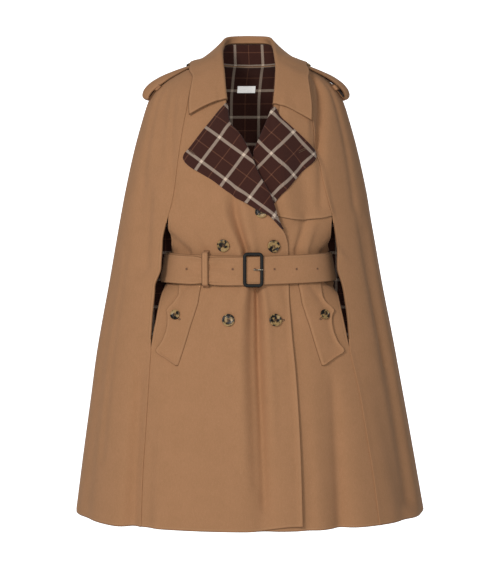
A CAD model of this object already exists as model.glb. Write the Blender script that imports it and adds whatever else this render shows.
"""A double-breasted trench cape of double-faced wool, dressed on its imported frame.

The cape keeps the hollow form it has when worn. Each piece of cloth is a closed wall of two
faces, camel outside and dark checked inside, laid on the same forms as the cape's solids.
Sizes here are in millimetres until a mesh is made. +Z is up, -Y is the wearer's front and +X
the wearer's left, and the origin lies between the neck points of the two shoulder seams.
"""

from __future__ import annotations

import logging
import math
from dataclasses import dataclass
from enum import Enum
from typing import Callable, Sequence

import bmesh
import bpy
import numpy as np
from mathutils import Matrix, Vector

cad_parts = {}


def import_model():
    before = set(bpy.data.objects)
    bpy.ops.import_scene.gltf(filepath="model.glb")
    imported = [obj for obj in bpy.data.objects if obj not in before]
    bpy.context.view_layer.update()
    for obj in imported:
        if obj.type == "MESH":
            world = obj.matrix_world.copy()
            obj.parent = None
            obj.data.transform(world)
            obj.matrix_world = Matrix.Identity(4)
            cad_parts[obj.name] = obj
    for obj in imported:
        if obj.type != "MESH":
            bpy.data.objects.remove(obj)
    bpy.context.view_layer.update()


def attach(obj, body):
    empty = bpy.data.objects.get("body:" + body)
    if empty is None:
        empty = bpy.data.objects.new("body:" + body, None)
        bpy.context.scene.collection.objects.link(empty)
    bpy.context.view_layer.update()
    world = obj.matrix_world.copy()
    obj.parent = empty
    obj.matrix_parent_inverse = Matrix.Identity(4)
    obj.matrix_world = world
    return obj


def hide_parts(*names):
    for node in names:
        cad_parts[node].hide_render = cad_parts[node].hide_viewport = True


log = logging.getLogger("trench_cape")

Array = np.ndarray
Level = Callable[[Array, Array], Array]
Section = Callable[[Array], Array]

MM = 0.001
CLOTH = 2.4  # thickness of the double-faced wool
REST = 0.4  # space under a piece that lies on another
HEM = -928.0
NECK_DROP = 10.0  # how far the back's neckline drops at its centre
SLIT_TOP = -328.0
SLIT_BOTTOM = -578.0
BOX = 0.42  # how much squarer than an oval the belted waist is in front


class Hand(Enum):
    """The wearer's right or left half of the cape."""

    RIGHT = -1
    LEFT = 1

    @property
    def word(self) -> str:
        """The half's name, as the solids spell it."""
        return self.name.lower()


class Face(Enum):
    """Which face of the double-faced wool a wall shows on its outer side."""

    CAMEL_OUT = "camel_out"
    CHECK_OUT = "check_out"


# Horizontal sections of the whole cape: height, half width, depth before and behind the seams,
# and how far the middle stands to the side, as the cape hangs a little to the wearer's right.
RINGS = (
    (0, 55, 36, 36, 0),
    (-8, 88, 47, 51, -1),
    (-20, 115, 56, 66, -3),
    (-38, 148, 67, 80, -5),
    (-55, 172, 77, 90, -6.5),
    (-74, 189, 88, 98, -8),
    (-95, 199, 99, 107, -8.5),
    (-133, 211, 116, 120, -8.5),
    (-187, 226, 133, 132, -8.5),
    (-272, 245, 146, 143, -8.5),
    (-364, 262, 152, 151, -8.5),
    (-455, 278, 158, 160, -8.5),
    (-598, 305, 172, 172, -7.5),
    (-704, 322, 188, 181, -5),
    (-798, 337, 205, 190, -3),
    (HEM, 357, 231, 205, 0),
)

# Height, how much narrower and shallower the belted fronts are than the cape, and how far they
# are drawn back to the middle.
WAIST = (
    (SLIT_TOP, 0, 0, 0),
    (-350, 36, 3, 1.5),
    (-372, 72, 7, 4),
    (-387, 94, 10, 6.5),
    (-397, 104.5, 12, 7),
    (-427, 106, 15, 7),
    (-453, 105.5, 13.5, 7),
    (-463, 94, 12, 7),
    (-480, 72, 9.5, 6),
    (-505, 44, 6.5, 4),
    (-540, 18, 3, 2),
    (SLIT_BOTTOM, 0, 0, 0),
)

# Soft folds: top, bottom, angle at the top and at the bottom, depth at the top and at the
# bottom, and spread in degrees. 0 is the centre front, 90 the wearer's left side.
FOLDS = (
    (-285, -400, -7, -2, 4, 5, 3.2),
    (-455, HEM, 3.6, 4.4, 9, 7, 3.6),
    (-600, HEM, 32, 30, 2, 13, 5),
    (-590, HEM, -41, -39, 3, 14, 5.5),
    (-70, -220, -57, -47, 7, 5, 6),
    (-260, -430, -57, -50, 6, 4, 6),
    (-50, -200, 56, 38, 11, 6, 4.6),
    (-330, -895, 66, 68, 4, 14, 6),
    (-640, HEM, 55, 61, 2, 7, 5.5),
    (-420, HEM, -72, -68, 2, 5, 6),
    (-300, HEM, 86, 80, 2, 3, 6.5),
    (-330, HEM, 118, 112, 3, 12, 6),
    (-250, HEM, 148, 143, 4, 15, 6),
    (-200, HEM, 176, 181, 4, 12, 6),
    (-260, HEM, 210, 215, 4, 15, 6),
    (-340, HEM, 241, 247, 3, 11, 6),
)

# Narrower creases and ridges in the same form, where the cloth is drawn in by the belt, hangs
# from a seam or breaks over the shoulders. Ridges have a negative depth.
CREASES = (
    (-446, -880, 4.7, 4.9, 17, 6, 1.4),
    (-452, -840, 1.6, 2.2, 6, 3, 1.6),
    (-456, -800, -2.4, -1.6, -4, -2, 2.2),
    (-452, -760, 8.2, 8.6, -5, -2, 1.8),
    (-282, -400, -5.4, -1.9, 7, 9, 1.9),
    (-290, -400, -10, -6, -4, -4, 2.2),
    (-282, -400, -2, 2, -2, -3, 2),
    (-300, -400, 1, 4, -2, -3, 2.4),
    (-325, -400, 27, 36, 4, 6, 2.2),
    (-335, -400, 33, 44, -2, -3, 2.6),
    (-345, -400, -28, -34, 1.5, 3, 3),
    (-458, -560, 21, 17, 3.5, 1, 2.6),
    (-458, -545, -19, -15, 3, 1, 2.6),
    (-462, -600, 40, 34, 3, 1, 3),
    (-460, -590, -41, -35, 3, 1, 3),
    (-620, HEM, -43.5, -42, 4, 8, 2.2),
    (-700, HEM, -34.5, -34, 1, 4, 2.4),
    (-270, -420, -50.5, -46.5, 3.5, 3, 2.6),
    (-85, -300, -47, -34, 5, 3, 2.8),
    (-60, -260, -66, -58, 3, 3, 3.4),
    (-640, HEM, 33, 30.5, 3, 6, 2.2),
    (-52, -185, 54, 40, 8, 6, 2.6),
    (-165, -300, 41, 36, 6, 4, 2.6),
    (-190, -330, 26, 29, 5, 5, 4.5),
    (-190, -330, 16, 19, -3, -3, 3.6),
    (-60, -300, 66, 60, 3, 3, 3.2),
    (-60, -150, 52, 45, -3, -1, 2.6),
    (-720, HEM, 20, 19, 1, 4, 2.4),
    (-300, -620, 61, 66, 1, 3, 2.6),
    (-380, -800, -63, -60, 1, 3, 2.6),
    (-120, -420, 104, 101, 1, 3, 2.8),
    (-480, HEM, 131, 129, 2, 6, 2.4),
    (-90, -330, 158, 155, 2, 4, 2.6),
    (-420, HEM, 164, 166, 2, 6, 2.4),
    (-130, -480, 192, 196, 1, 4, 2.6),
    (-520, HEM, 200, 199, 2, 6, 2.2),
    (-300, -760, 226, 229, 1, 4, 2.6),
    (-560, HEM, 252, 250, 1, 5, 2.4),
)

# Height, and the seam or slit edge of the wearer's right and left front.
FRONT_EDGE = (
    (-20, 112, 110),
    (-75, 121, 119),
    (-110, 126.5, 121.5),
    (-145, 133, 125),
    (-182, 138.5, 128.5),
    (-232, 145.5, 142),
    (-271, 151, 149.5),
    (-302, 156.5, 156),
    (SLIT_TOP, 161, 162),
    (-353, 162.5, 161.5),
    (-372, 159.5, 161),
    (-391, 156.5, 159.5),
    (-425, 156.5, 159.5),
    (-459, 169.5, 170.2),
    (-472, 173.9, 174.2),
    (-491, 179, 177.5),
    (-510, 182.8, 181.3),
    (-529, 186, 185.2),
    (-549, 190, 189.2),
    (SLIT_BOTTOM, 194.3, 194.8),
    (-605, 197.5, 201),
    (-669, 202.5, 215.5),
    (-750, 208.5, 229),
    (-832, 214.8, 242),
    (HEM, 219, 253.5),
)

# Height, and how far the cape's slit edge stands outside the front's, right and left.
SLIT_GAP = (
    (SLIT_TOP, 0, 0),
    (-353, 4.7, 4.6),
    (-372, 11.2, 7.6),
    (-391, 14.9, 10),
    (-425, 17, 11),
    (-459, 16, 9.9),
    (-472, 13, 8.8),
    (-491, 9.8, 8.4),
    (-510, 7.7, 7.3),
    (-529, 5.7, 5.6),
    (-549, 2.7, 3.2),
    (SLIT_BOTTOM, 0, 0),
)

# Height, and the neckline, lapel roll and front edge of the right and the left front.
INNER_EDGE = (
    (-2, -63, 63),
    (-10, -61, 61),
    (-30, -56, 56),
    (-60, -52, 53),
    (-95, -47, 49),
    (-140, -42, 34),
    (-173, -18, 20),
    (-201, -3, 9),
    (-243, 14, -12),
    (-286, 37, -35),
    (-326, 51, -50),
    (-348, 61, -61),
    (-362, 69, -69),
    (-388, 76, -76),
    (-456, 77, -77),
    (-551, 82, -82),
    (-640, 90, -90),
    (-742, 96, -96),
    (-830, 99, -99),
    (HEM, 101, -101),
)

# Height and place of the outer edge of each turned lapel, from the notch to the break.
RIGHT_LAPEL = (
    (-105, -48),
    (-118, -60),
    (-135, -73),
    (-153, -88),
    (-175, -105),
    (-193, -119),
    (-204, -128.5),
    (-211, -131),
    (-218, -128.5),
    (-229, -118),
    (-243, -95),
    (-257, -72),
    (-277, -46),
    (-293, -21),
    (-309, 3),
    (-329, 40),
    (-347, 58),
)
LEFT_LAPEL = (
    (-114, 50),
    (-130, 58),
    (-153, 80),
    (-176, 106),
    (-195, 125),
    (-201, 129),
    (-208, 130.5),
    (-215, 128),
    (-232, 111),
    (-245, 97),
    (-259, 84),
    (-274, 71),
    (-289, 57),
    (-303, 46),
)

# Height and place of the storm flap's free front edge.
FLAP_EDGE = (
    (-34, 66),
    (-60, 60),
    (-105, 57),
    (-201, 45),
    (-243, 28),
    (-286, 33),
    (-326, 47),
)

# Height, and the inner and the scalloped edge of a pocket flap, from the centre of the fronts.
POCKET = (
    (-449, 93, 140),
    (-462, 95, 140),
    (-480, 98.5, 142),
    (-494, 100.5, 149),
    (-506, 104, 161),
    (-512, 106, 165),
    (-519, 108, 162),
    (-532, 112.5, 161),
    (-548, 117.5, 163),
    (-560, 121, 167),
    (-573, 125, 173),
    (-589, 130, 184),
    (-604, 135, 163),
    (-617, 139.5, 143),
)

# The collar from its front end to the centre back: the roll's place, the free edge's angle,
# height and distance off the cape, how much lower that edge hangs on the wearer's left, the neck
# seam's height or angle, and the inner rim's depth.
COLLAR = (
    (45, -102, -95, 34, -130, 9, 11, -97, 0, 1.5),
    (48, -90, -69, 36, -104, 9.5, 8, -72, 0, 2),
    (50, -72, -41, 37.5, -76, 10, 4, -45, 0, 3),
    (51, -50, -15, 41, -55, 10, 2, -18, 0, 4),
    (50.5, -28, 5, 50.5, -41, 8, 0, -6.5, 0, 7),
    (50, -10, 15, 67, -25.5, 7, 0, -3.2, 0, 10),
    (48, 8, 25, 92, -19.5, 6.5, 0, 0, 92, 12),
    (44, 29, 37, 112, -22.5, 7.5, 0, 0, 112, 13),
    (35.5, 47, 46, 135, -34, 11, 0, 0, 135, 13),
    (20, 58, 50, 157, -45, 9, 0, 0, 158, 13),
    (0, 61, 51, 180, -50, 8, 0, 0, 180, 13),
)

# A shoulder strap's way out from the neck, round its fold and back under: height, distance off
# the shoulder, share of its width, and how far its long edges droop.
STRAP_WAY = (
    (-15, 2.8, 0.5, 1),
    (-18, 3, 0.86, 1),
    (-24, 4.4, 1, 1.8),
    (-35, 8, 1, 3.2),
    (-47, 12, 1, 4.4),
    (-58, 15.6, 1, 5.2),
    (-68, 18.2, 1, 5.6),
    (-77, 19.4, 0.98, 5.2),
    (-84, 17.8, 0.95, 4.4),
    (-88, 14, 0.92, 3.4),
    (-89, 10.5, 0.9, 2),
    (-86, 7.4, 0.88, 1.5),
    (-78, 5.2, 0.88, 1.5),
    (-68, 4, 0.88, 1.5),
    (-58, 3.4, 0.88, 1.5),
)

COAT_BUTTONS = (
    ("button_top_left", 22, -317),
    ("button_upper_right", -52, -383),
    ("button_upper_left", 46, -384),
    ("button_lower_right", -42, -528),
    ("button_lower_left", 49, -528),
)


def smooth(value: Array | float, low: float, high: float) -> Array:
    """An eased step from 0 at low to 1 at high."""
    t = np.clip((np.asarray(value, float) - low) / (high - low), 0.0, 1.0)
    return t * t * (3.0 - 2.0 * t)


class Curve:
    """A smooth curve through measured points, which doesn't swing past them."""

    def __init__(self, rows: Sequence[Sequence[float]], column: int, key: int = 0) -> None:
        """Takes one column of a table as the value, and another as the place.

        Args:
            rows: The table.
            column: The column with the values.
            key: The column with the places along the curve.
        """
        data = sorted((float(row[key]), float(row[column])) for row in rows)
        self.at = np.array([place for place, _ in data])
        self.value = np.array([value for _, value in data])
        rise = np.diff(self.value) / np.diff(self.at)
        slope = np.concatenate([rise[:1], np.zeros(len(rise) - 1), rise[-1:]])
        before, after = rise[:-1], rise[1:]
        turning = before * after <= 0
        total = np.where(turning, 1.0, before + after)
        slope[1:-1] = np.where(turning, 0.0, 2.0 * before * after / total)
        self.slope = slope

    def __call__(self, place: Array | float) -> Array:
        """The curve's value at one or more places."""
        x = np.clip(np.asarray(place, float), self.at[0], self.at[-1])
        i = np.clip(np.searchsorted(self.at, x, side="right") - 1, 0, len(self.at) - 2)
        width = self.at[i + 1] - self.at[i]
        s = (x - self.at[i]) / width
        return (
            (1 + 2 * s) * (1 - s) ** 2 * self.value[i]
            + s * (1 - s) ** 2 * width * self.slope[i]
            + s * s * (3 - 2 * s) * self.value[i + 1]
            + s * s * (s - 1) * width * self.slope[i + 1]
        )


def unit(vectors: Array) -> Array:
    """The same directions with a length of 1."""
    return vectors / np.maximum(np.linalg.norm(vectors, axis=-1, keepdims=True), 1e-9)


def fold_depth(angle: Array, z: Array) -> Array:
    """How far the soft folds push the cloth in.

    Args:
        angle: Angles round the cape in radians, 0 at the centre front.
        z: Heights.

    Returns:
        The depth at each place.
    """
    turn = np.mod(np.degrees(angle) + 90.0, 360.0) - 90.0
    depth = np.zeros(np.broadcast(turn, z).shape)
    for top, bottom, start, end, deep_top, deep_bottom, spread in FOLDS + CREASES:
        share = np.clip((top - z) / (top - bottom), -0.3, 1.3)
        away = np.abs(turn - (start + (end - start) * share))
        off = np.minimum(away, 360.0 - away) / spread
        tail = -60.0 if bottom == HEM else -25.0
        fade = smooth(top + 25.0 - z, 0.0, 60.0) * smooth(z - bottom, tail, 0.0)
        deep = deep_top + (deep_bottom - deep_top) * np.clip(share, 0.0, 1.0)
        depth += deep * fade * np.exp(-off * off)
    return depth


class Form:
    """A stack of oval sections that cloth lies on."""

    def __init__(
        self,
        half: Section,
        front: Section,
        back: Section,
        centre: Section,
        box: Section = lambda z: 0.0 * np.asarray(z, float),
    ) -> None:
        """Takes the sections' sizes as functions of z.

        Args:
            half: Half the width.
            front: The depth before the side seams.
            back: The depth behind them.
            centre: How far the middle stands to the side.
            box: How much squarer than an oval the front is.
        """
        self.half = half
        self.front = front
        self.back = back
        self.centre = centre
        self.box = box

    def on(self, angle: Array, z: Array, folded: bool = True) -> Array:
        """Points on the form.

        Args:
            angle: Angles in radians, 0 at the centre front.
            z: Heights.
            folded: Whether the soft folds are pressed in.

        Returns:
            The points, one row each.
        """
        angle, z = np.broadcast_arrays(np.asarray(angle, float), np.asarray(z, float))
        half = self.half(z)
        ahead = np.cos(angle) > 0
        deep = np.where(ahead, self.front(z), self.back(z))
        share = np.where(ahead, np.abs(np.cos(angle)) ** (1.0 - self.box(z)), np.cos(angle))
        point = np.stack([self.centre(z) + half * np.sin(angle), -deep * share, z], axis=-1)
        if folded:
            out = unit(np.stack([np.sin(angle) / half, -np.cos(angle) / deep, np.zeros_like(half)], axis=-1))
            point = point - out * fold_depth(angle, z)[..., None]
        return point

    def outward(self, angle: Array, z: Array, folded: bool = True) -> Array:
        """The outward direction of the form at each place."""
        turn = math.radians(0.4)
        angle, z = np.broadcast_arrays(np.asarray(angle, float), np.asarray(z, float))
        wide = self.on(angle + turn, z, folded) - self.on(angle - turn, z, folded)
        high = np.minimum(z + 0.6, -0.1)
        down = self.on(angle, z - 0.6, folded) - self.on(angle, high, folded)
        return unit(np.cross(down, wide))

    def off(self, angle: Array, z: Array, away: Array | float, folded: bool = True) -> Array:
        """Points at a distance off the form."""
        return self.on(angle, z, folded) + self.outward(angle, z, folded) * np.asarray(away)[..., None]

    def angle_at(self, x: Array, z: Array) -> Array:
        """The angle of a place before the side seams, from how far it is from the centre."""
        return np.arcsin(np.clip((x - self.centre(z)) / self.half(z), -1.0, 1.0))


CAPE = Form(Curve(RINGS, 1), Curve(RINGS, 2), Curve(RINGS, 3), Curve(RINGS, 4))
_WAIST_HALF = Curve(WAIST, 1)
_WAIST_FRONT = Curve(WAIST, 2)
_WAIST_CENTRE = Curve(WAIST, 3)
_MOST_WAIST = max(row[1] for row in WAIST)
BODY = Form(
    lambda z: CAPE.half(z) - _WAIST_HALF(z),
    lambda z: CAPE.front(z) - _WAIST_FRONT(z),
    CAPE.back,
    lambda z: CAPE.centre(z) + _WAIST_CENTRE(z),
    lambda z: BOX * _WAIST_HALF(z) / _MOST_WAIST,
)

SIDE_OF = {Hand.RIGHT: Curve(FRONT_EDGE, 1), Hand.LEFT: Curve(FRONT_EDGE, 2)}
INNER_OF = {Hand.RIGHT: Curve(INNER_EDGE, 1), Hand.LEFT: Curve(INNER_EDGE, 2)}
SLIT_OF = {Hand.RIGHT: Curve(SLIT_GAP, 1), Hand.LEFT: Curve(SLIT_GAP, 2)}
FLAP = Curve(FLAP_EDGE, 1)
LAPEL_OF = {Hand.RIGHT: Curve(RIGHT_LAPEL, 1), Hand.LEFT: Curve(LEFT_LAPEL, 1)}


def side_of(hand: Hand, z: Array) -> Array:
    """How far from the centre a front ends: at the shoulder seam, then at its side seam."""
    z = np.asarray(z, float)
    shoulder = CAPE.half(z) + hand.value * CAPE.centre(z)
    return np.where(z > -20.0, shoulder, np.minimum(shoulder, SIDE_OF[hand](z)))


def off_front(x: Array, z: Array, away: Array | float) -> Array:
    """Points at a distance off the belted fronts, from how far they are from the centre."""
    return BODY.off(BODY.angle_at(x, z), z, away)


def upper_level(x: Array, z: Array) -> Array:
    """How far the upper front stands off, rising towards the roll of its lapel."""
    to_roll = np.maximum(0.0, INNER_OF[Hand.RIGHT](z) - x)
    lift = 7.5 * (1.0 - smooth(to_roll, 0.0, 45.0))
    return lift * smooth(-z, 115.0, 165.0) * (1.0 - smooth(-z, 350.0, 388.0))


def lower_level(x: Array, z: Array) -> Array:
    """How far the lower front stands off, one layer further in under the upper one."""
    past = x - INNER_OF[Hand.RIGHT](z)
    lift = 2.2 * (1.0 - smooth(x - INNER_OF[Hand.LEFT](z), 0.0, 14.0))
    lift = lift * (1.0 - smooth(-z, 150.0, 200.0)) * smooth(-z, 95.0, 130.0)
    return lift - (CLOTH + REST) * (1.0 - smooth(past, 5.0, 32.0))


FRONT_LEVEL: dict[Hand, Level] = {Hand.RIGHT: upper_level, Hand.LEFT: lower_level}


def flap_level(x: Array, z: Array) -> Array:
    """How far the storm flap stands off: on the lower front, and fuller over the chest."""
    share = (x - FLAP(z)) / (side_of(Hand.LEFT, z) - FLAP(z))
    full = 3.2 * smooth(-z, 60.0, 110.0) * (1.0 - smooth(-z, 150.0, 200.0)) * smooth(share, 0.0, 0.3)
    return lower_level(x, z) + REST + CLOTH + full * (1.0 - smooth(x, 112.0, 121.0))


def right_lapel_level(x: Array, z: Array) -> Array:
    """How far the upper front's lapel stands off, with its billow and the button under it."""
    edge, roll = LAPEL_OF[Hand.RIGHT](z), INNER_OF[Hand.RIGHT](z)
    share = np.clip((x - edge) / (roll - edge), 0.0, 1.0)
    button = 7.0 * np.exp(-((x - 22.0) ** 2 + (z + 317.0) ** 2) / (2 * 24.0**2))
    return upper_level(x, z) + REST + CLOTH + 1.2 + 3.5 * np.sin(np.pi * share) + button


def left_lapel_level(x: Array, z: Array) -> Array:
    """How far the lower front's lapel stands off, on the storm flap and under the upper roll."""
    start = np.maximum(INNER_OF[Hand.LEFT](z), INNER_OF[Hand.RIGHT](z) + 6.0)
    share = np.clip((x - start) / (LAPEL_OF[Hand.LEFT](z) - start), 0.0, 1.0)
    on_flap = smooth(x - FLAP(z), -14.0, -2.0)
    below = lower_level(x, z) * (1.0 - on_flap) + flap_level(x, z) * on_flap
    turned = 1.2 * (1.0 - smooth(x - INNER_OF[Hand.RIGHT](z), 0.0, 30.0)) * smooth(z, -215.0, -180.0)
    return below + REST + CLOTH + 0.2 + turned + 3.0 * np.sin(np.pi * share) ** 2


def linear(hex_colour: str) -> tuple[float, float, float, float]:
    """An sRGB hex colour as a linear one with full alpha."""
    channels = [int(hex_colour[i : i + 2], 16) / 255.0 for i in (1, 3, 5)]
    lit = [c / 12.92 if c <= 0.04045 else ((c + 0.055) / 1.055) ** 2.4 for c in channels]
    return (lit[0], lit[1], lit[2], 1.0)


class Nodes:
    """A material's node tree, with one way to add to it."""

    def __init__(self, name: str) -> None:
        """Starts an empty material of that name."""
        self.material = bpy.data.materials.new(name)
        self.material.use_nodes = True
        self.tree = self.material.node_tree
        self.tree.nodes.clear()

    def add(self, kind: str, settings: dict[str, object] | None = None, **inputs: object) -> bpy.types.Node:
        """Adds a node.

        Args:
            kind: The node's type.
            settings: Its own properties.
            **inputs: Socket values or sockets to link from, by socket name with _ for a space,
                or by position as in_0.

        Returns:
            The new node.
        """
        node = self.tree.nodes.new(kind)
        for key, value in (settings or {}).items():
            setattr(node, key, value)
        for key, value in inputs.items():
            place = int(key[3:]) if key.startswith("in_") else key.replace("_", " ")
            socket = node.inputs[place]
            if isinstance(value, bpy.types.NodeSocket):
                self.tree.links.new(value, socket)
            else:
                socket.default_value = value
        return node

    def maths(self, operation: str, *values: object) -> bpy.types.NodeSocket:
        """The result of one sum."""
        inputs = {f"in_{i}": value for i, value in enumerate(values)}
        return self.add("ShaderNodeMath", {"operation": operation}, **inputs).outputs[0]

    def blend(self, share: object, first: object, second: object, how: str = "MIX") -> bpy.types.NodeSocket:
        """One colour mixed with another."""
        node = self.add("ShaderNodeMix", {"data_type": "RGBA", "blend_type": how})
        for place, value in ((0, share), (6, first), (7, second)):
            if isinstance(value, bpy.types.NodeSocket):
                self.tree.links.new(value, node.inputs[place])
            else:
                node.inputs[place].default_value = value
        return node.outputs[2]

    def step(self, value: object, low: float, high: float) -> bpy.types.NodeSocket:
        """An eased step of a value."""
        settings = {"interpolation_type": "SMOOTHSTEP", "clamp": True}
        node = self.add("ShaderNodeMapRange", settings, in_0=value, in_1=low, in_2=high, in_3=0.0, in_4=1.0)
        return node.outputs[0]

    def close(self, shader: bpy.types.Node) -> bpy.types.Material:
        """Links the shader to the output and gives the material back."""
        self.add("ShaderNodeOutputMaterial", Surface=shader.outputs[0])
        return self.material


@dataclass(frozen=True)
class CamelWool:
    """Double-faced wool, camel face: woven, milled and brushed, so it is matt with a soft nap."""

    ground: str = "#B5855F"
    shaded: str = "#AE805A"
    light: str = "#C2956F"
    nap: float = 1.6  # mm between tufts of the nap, coarser than the real fibres so that it shows
    cloud: float = 34.0  # mm across the slow changes of tone that milling leaves
    stitch: float = 6.0  # mm from a finished edge to the line of hand stitches
    pressed: float = 2.2  # mm along an edge that are pressed hard

    def dress(self) -> bpy.types.Material:
        """Builds the material."""
        n = Nodes("camel_brushed_wool")
        place = n.add("ShaderNodeTexCoord").outputs["Object"]
        edge = n.add("ShaderNodeUVMap", {"uv_map": "Edge"}).outputs[0]
        parts = n.add("ShaderNodeSeparateXYZ", in_0=edge)
        far, rim = parts.outputs[0], parts.outputs[1]
        cloud = n.add("ShaderNodeTexNoise", Vector=place, Scale=1000.0 / self.cloud, Detail=3.0)
        nap = n.add("ShaderNodeTexNoise", Vector=place, Scale=1000.0 / self.nap, Detail=2.0)
        # Brushing lays the fibres one way, so the fine tone runs down the cloth.
        drawn = n.add("ShaderNodeMapping", Vector=place, Scale=(1.0, 1.0, 0.28))
        streak = n.add("ShaderNodeTexNoise", Vector=drawn.outputs[0], Scale=420.0, Detail=2.0)
        clouds = n.maths("MULTIPLY", cloud.outputs[0], 0.45)
        streaks = n.maths("MULTIPLY", streak.outputs[0], 0.55)
        tone = n.maths("ADD", clouds, streaks)
        base = n.blend(n.step(tone, 0.3, 0.7), linear(self.shaded), linear(self.ground))
        tufts = n.maths("MULTIPLY", n.step(nap.outputs[0], 0.52, 0.72), 0.35)
        base = n.blend(tufts, base, linear(self.light))
        # The stitched line sinks into the cloth, and its hollow is a little darker.
        near = n.maths("ABSOLUTE", n.maths("SUBTRACT", far, self.stitch * MM))
        line = n.maths("SUBTRACT", 1.0, n.step(near, 0.0003, 0.0013))
        base = n.blend(n.maths("MULTIPLY", line, 0.16), base, linear("#6E4A30"))
        # A cut edge is pressed hard and loses its nap, so it reads darker than the face.
        pressed = n.maths("SUBTRACT", 1.0, n.step(rim, 0.0, self.pressed * MM))
        base = n.blend(n.maths("MULTIPLY", pressed, 0.6), base, linear("#54371F"))
        # Inside it the cloth stands up in a soft ridge over the turned allowance.
        ridge = n.maths("ABSOLUTE", n.maths("SUBTRACT", rim, 2.0 * self.pressed * MM))
        ridge = n.maths("SUBTRACT", 1.0, n.step(ridge, 0.0, 0.002))
        base = n.blend(n.maths("MULTIPLY", ridge, 0.3), base, linear(self.light))
        nap_height = n.maths("MULTIPLY", nap.outputs[0], 0.35)
        line_depth = n.maths("MULTIPLY", line, 0.8)
        height = n.maths("SUBTRACT", nap_height, line_depth)
        bump = n.add("ShaderNodeBump", Strength=0.32, Distance=0.0008, Height=height)
        shader = n.add(
            "ShaderNodeBsdfPrincipled",
            Base_Color=base,
            Roughness=0.92,
            Specular_IOR_Level=0.18,
            Sheen_Weight=0.22,
            Sheen_Roughness=0.55,
            Sheen_Tint=linear("#E8C8A8"),
            Normal=bump.outputs[0],
        )
        return n.close(shader)


@dataclass(frozen=True)
class CheckedWool:
    """The same wool's dark face: a plain windowpane of single cream and rust lines, in twill."""

    ground: str = "#4A281F"
    dark: str = "#341E19"
    cream: str = "#F2DDC6"
    rust: str = "#8E6048"
    repeat: float = 58.0  # mm from one cream stripe to the next
    stripe: float = 5.6  # mm across a cream stripe
    thread: float = 1.6  # mm across a rust line
    twill: float = 3.0  # mm between twill lines, coarser than the real ones so that they show

    def _lines(
        self, n: Nodes, along: bpy.types.NodeSocket, shift: float, width: float
    ) -> bpy.types.NodeSocket:
        """A mask of evenly spaced stripes across one direction of the cloth."""
        place = n.maths("FRACT", n.maths("ADD", n.maths("DIVIDE", along, self.repeat * MM), shift))
        off = n.maths("ABSOLUTE", n.maths("SUBTRACT", place, 0.5))
        half = width / self.repeat / 2.0
        return n.maths("SUBTRACT", 1.0, n.step(off, half * 0.8, half * 1.2 + 0.002))

    def dress(self) -> bpy.types.Material:
        """Builds the material."""
        n = Nodes("dark_checked_wool")
        cloth = n.add("ShaderNodeUVMap", {"uv_map": "Cloth"}).outputs[0]
        split = n.add("ShaderNodeSeparateXYZ", in_0=cloth)
        across, down = split.outputs[0], split.outputs[1]
        slant = n.maths("FRACT", n.maths("DIVIDE", n.maths("ADD", across, down), self.twill * MM))
        woven = n.step(n.maths("ABSOLUTE", n.maths("SUBTRACT", slant, 0.5)), 0.1, 0.4)
        noise = n.add("ShaderNodeTexNoise", Vector=n.add("ShaderNodeTexCoord").outputs["Object"], Scale=520.0)
        base = n.blend(n.maths("MULTIPLY", woven, 0.6), linear(self.ground), linear(self.dark))
        for colour, shift, width in ((self.rust, 0.0, self.thread), (self.cream, 0.5, self.stripe)):
            warp = self._lines(n, across, shift, width)
            weft = self._lines(n, down, shift, width)
            # Over the dark threads a stripe shows every other thread, and is whole at a crossing.
            both = n.maths("MULTIPLY", warp, weft)
            one = n.maths("MAXIMUM", warp, weft)
            share = n.maths("MULTIPLY", one, n.maths("ADD", 0.22, n.maths("MULTIPLY", woven, 0.3)))
            share = n.maths("MAXIMUM", share, n.maths("MULTIPLY", both, 0.86))
            base = n.blend(share, base, linear(colour))
        base = n.blend(n.maths("MULTIPLY", noise.outputs[0], 0.22), base, linear("#8C7468"), "SOFT_LIGHT")
        height = n.maths("ADD", n.maths("MULTIPLY", noise.outputs[0], 0.5), n.maths("MULTIPLY", woven, 0.3))
        bump = n.add("ShaderNodeBump", Strength=0.3, Distance=0.0006, Height=height)
        shader = n.add(
            "ShaderNodeBsdfPrincipled",
            Base_Color=base,
            Roughness=0.9,
            Specular_IOR_Level=0.2,
            Sheen_Weight=0.12,
            Sheen_Roughness=0.5,
            Normal=bump.outputs[0],
        )
        return n.close(shader)


@dataclass(frozen=True)
class Plain:
    """A small piece's finish, with a mottle, a gloss and a relief at a real scale."""

    name: str
    first: str
    second: str
    scale: float  # mm across the mottle
    share: tuple[float, float] = (0.4, 0.6)
    roughness: float = 0.6
    metallic: float = 0.0
    relief: float = 0.1  # mm
    glow: float = 0.0  # how much it brightens by itself, as optically brightened cloth does
    gloss: float = 0.5

    def dress(self) -> bpy.types.Material:
        """Builds the material."""
        n = Nodes(self.name)
        place = n.add("ShaderNodeTexCoord").outputs["Object"]
        mottle = n.add("ShaderNodeTexNoise", Vector=place, Scale=1000.0 / self.scale, Detail=3.0)
        base = n.blend(n.step(mottle.outputs[0], *self.share), linear(self.first), linear(self.second))
        bump = n.add("ShaderNodeBump", Strength=0.4, Distance=self.relief * MM, Height=mottle.outputs[0])
        rough = n.maths("ADD", self.roughness - 0.05, n.maths("MULTIPLY", mottle.outputs[0], 0.1))
        shader = n.add(
            "ShaderNodeBsdfPrincipled",
            Base_Color=base,
            Roughness=rough,
            Metallic=self.metallic,
            Specular_IOR_Level=self.gloss,
            Emission_Color=base,
            Emission_Strength=self.glow,
            Normal=bump.outputs[0],
        )
        return n.close(shader)


# Cast polyester made to look like horn: dark with clouds of amber, polished.
HORN = Plain("mottled_horn_button", "#130D08", "#A98A58", 9.0, (0.46, 0.57), 0.3, 0.0, 0.02, 0.0, 0.35)
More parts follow.
